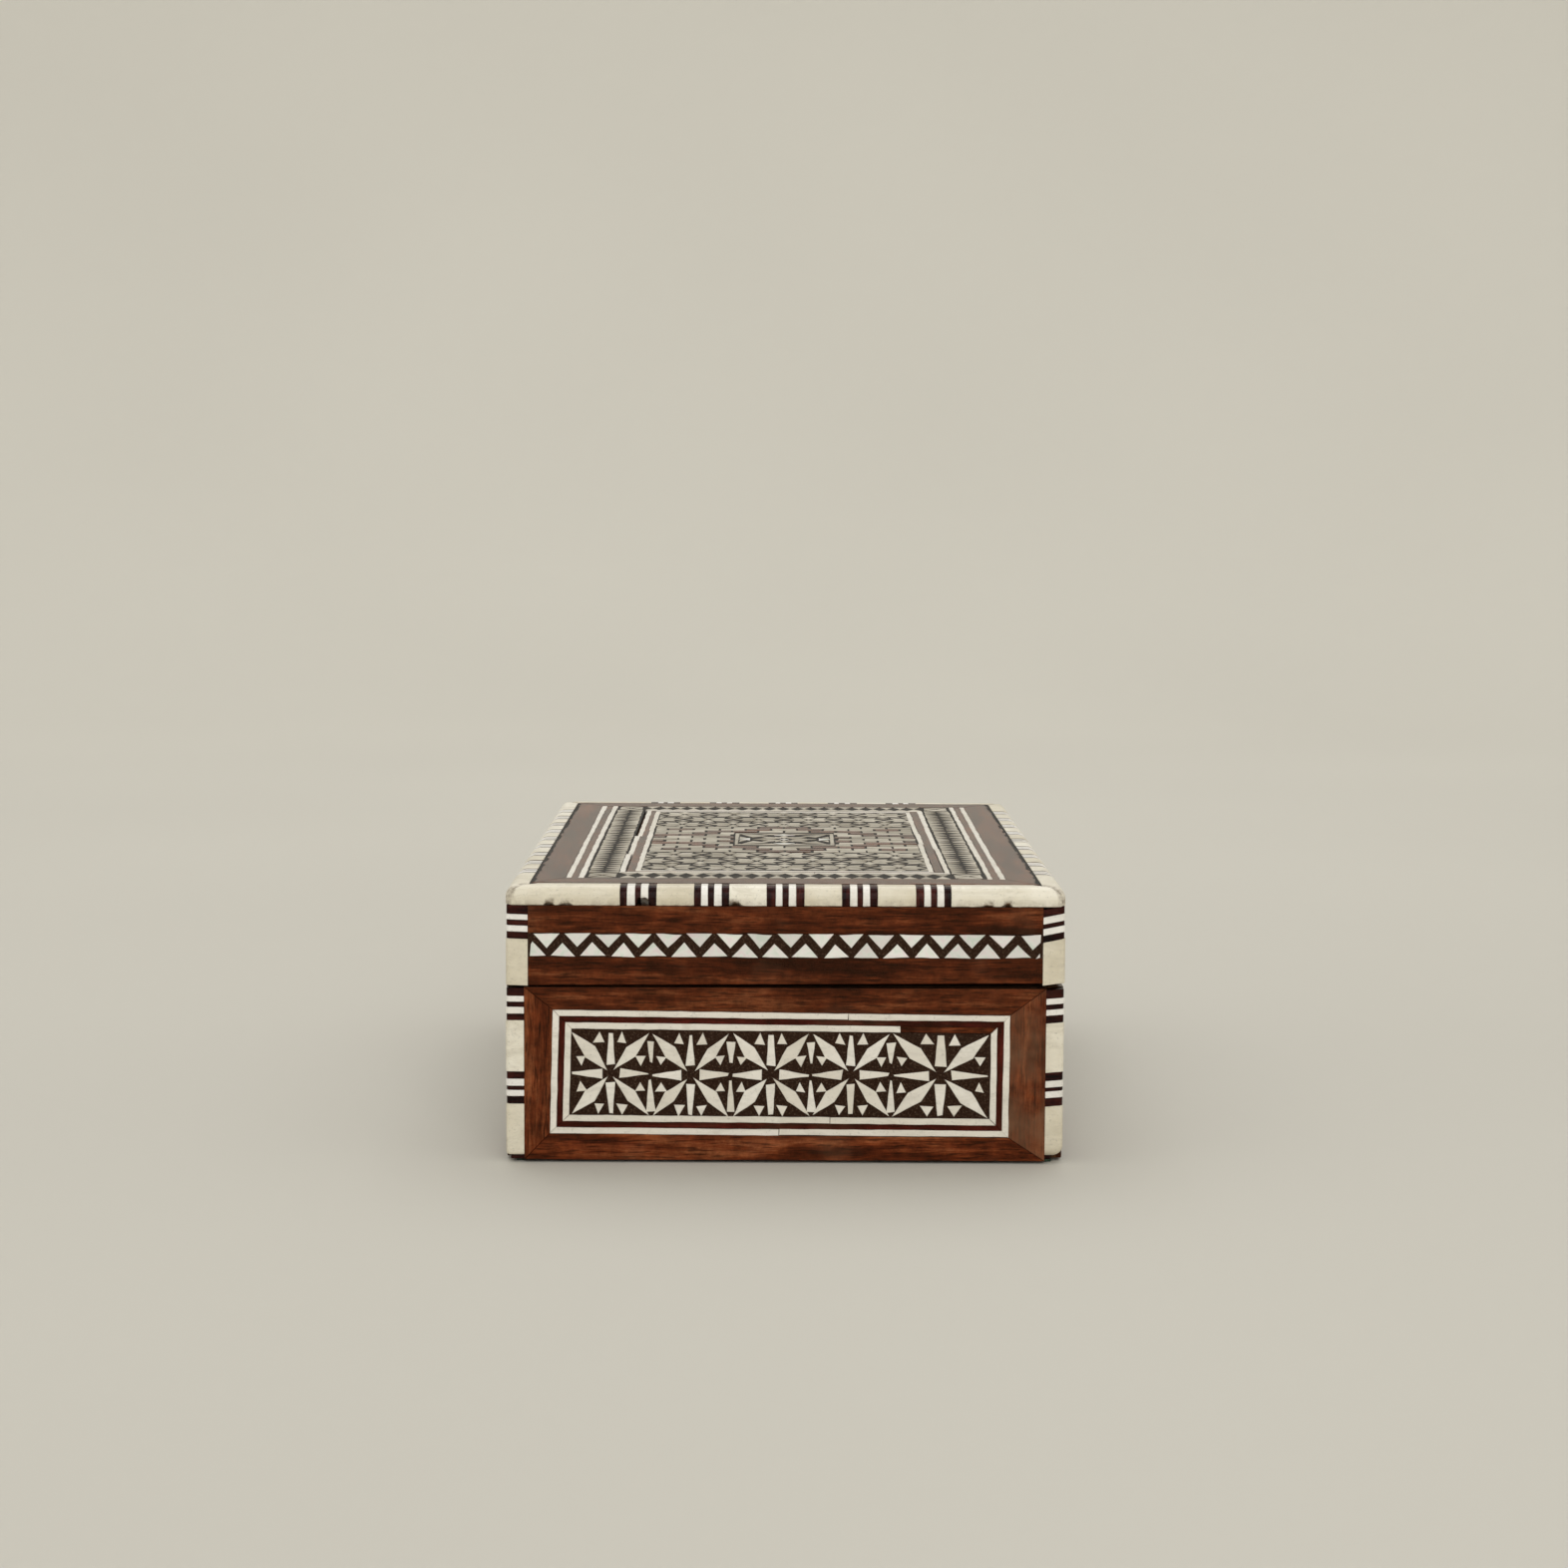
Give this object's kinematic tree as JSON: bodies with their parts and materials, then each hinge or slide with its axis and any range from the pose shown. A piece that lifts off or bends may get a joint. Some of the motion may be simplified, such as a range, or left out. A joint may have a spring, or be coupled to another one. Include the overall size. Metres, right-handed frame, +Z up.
{
  "type": "inlaid box",
  "caption": "Rectangular wooden trinket box with a hinged lid, inlaid all over with bone and pearl star, zigzag and line mosaic.",
  "frame": {"origin": "middle of the box's underside, on the surface it stands on", "axes": "+Z up; +Y along the length, from the front end to the back end; +X across, from the hinge side to the opening side"},
  "size_m": [0.1016, 0.15, 0.05],
  "materials": {
    "carcass_wood": "dark stained softwood, unpolished",
    "veneer_wood": "red-brown walnut veneer under clear lacquer",
    "bone_inlay": "cream bone strips and blocks with dark wood slips, lacquered",
    "pearl_inlay": "mother of pearl triangles in dark filler, lacquered",
    "star_mosaic": "bone and wood tesserae in dark filler, lacquered",
    "velvet": "red velvet on card",
    "felt": "thin dark felt",
    "brass": "tarnished stamped brass"
  },
  "bodies": {
    "base": {"base_felt": "felt", "base_board": "carcass_wood", "base_wall_front_end": "carcass_wood", "base_wall_back_end": "carcass_wood", "base_wall_hinge_side": "carcass_wood", "base_wall_opening_side": "carcass_wood", "base_corner_strip_front_hinge": "bone_inlay", "base_corner_strip_front_opening": "bone_inlay", "base_corner_strip_back_opening": "bone_inlay", "base_corner_strip_back_hinge": "bone_inlay", "base_frame_front_end": "veneer_wood", "base_star_panel_front_end": "star_mosaic", "base_frame_back_end": "veneer_wood", "base_star_panel_back_end": "star_mosaic", "base_frame_hinge_side": "veneer_wood", "base_star_panel_hinge_side": "star_mosaic", "base_frame_opening_side": "veneer_wood", "base_star_panel_opening_side": "star_mosaic", "base_lining_floor": "velvet", "base_lining_walls": "velvet", "hinge_front_base_leaf": "brass", "hinge_front_pin": "brass", "hinge_front_base_screw_1": "brass", "hinge_front_base_screw_2": "brass", "hinge_back_base_leaf": "brass", "hinge_back_pin": "brass", "hinge_back_base_screw_1": "brass", "hinge_back_base_screw_2": "brass"},
    "lid": {"lid_board": "carcass_wood", "lid_wall_front_end": "carcass_wood", "lid_wall_back_end": "carcass_wood", "lid_wall_hinge_side": "carcass_wood", "lid_wall_opening_side": "carcass_wood", "lid_corner_strip_front_hinge": "bone_inlay", "lid_corner_strip_front_opening": "bone_inlay", "lid_corner_strip_back_opening": "bone_inlay", "lid_corner_strip_back_hinge": "bone_inlay", "lid_face_front_end": "veneer_wood", "lid_zigzag_front_end": "pearl_inlay", "lid_edge_strip_front_end": "bone_inlay", "lid_face_back_end": "veneer_wood", "lid_zigzag_back_end": "pearl_inlay", "lid_edge_strip_back_end": "bone_inlay", "lid_face_hinge_side": "veneer_wood", "lid_zigzag_hinge_side": "pearl_inlay", "lid_edge_strip_hinge_side": "bone_inlay", "lid_face_opening_side": "veneer_wood", "lid_zigzag_opening_side": "pearl_inlay", "lid_edge_strip_opening_side": "bone_inlay", "lid_top_frame": "veneer_wood", "lid_top_stringing": "bone_inlay", "lid_top_mosaic_band": "star_mosaic", "lid_top_field": "star_mosaic", "lid_lining": "velvet", "hinge_front_lid_leaf": "brass", "hinge_front_lid_screw_1": "brass", "hinge_front_lid_screw_2": "brass", "hinge_back_lid_leaf": "brass", "hinge_back_lid_screw_1": "brass", "hinge_back_lid_screw_2": "brass"}
  },
  "joints": [
    {"name": "lid_hinge", "type": "hinge", "parent": "base", "child": "lid", "pos_m": [-0.05025, 0, 0.03195], "axis": [0, -1, 0], "range_deg": [0, 100]}
  ]
}
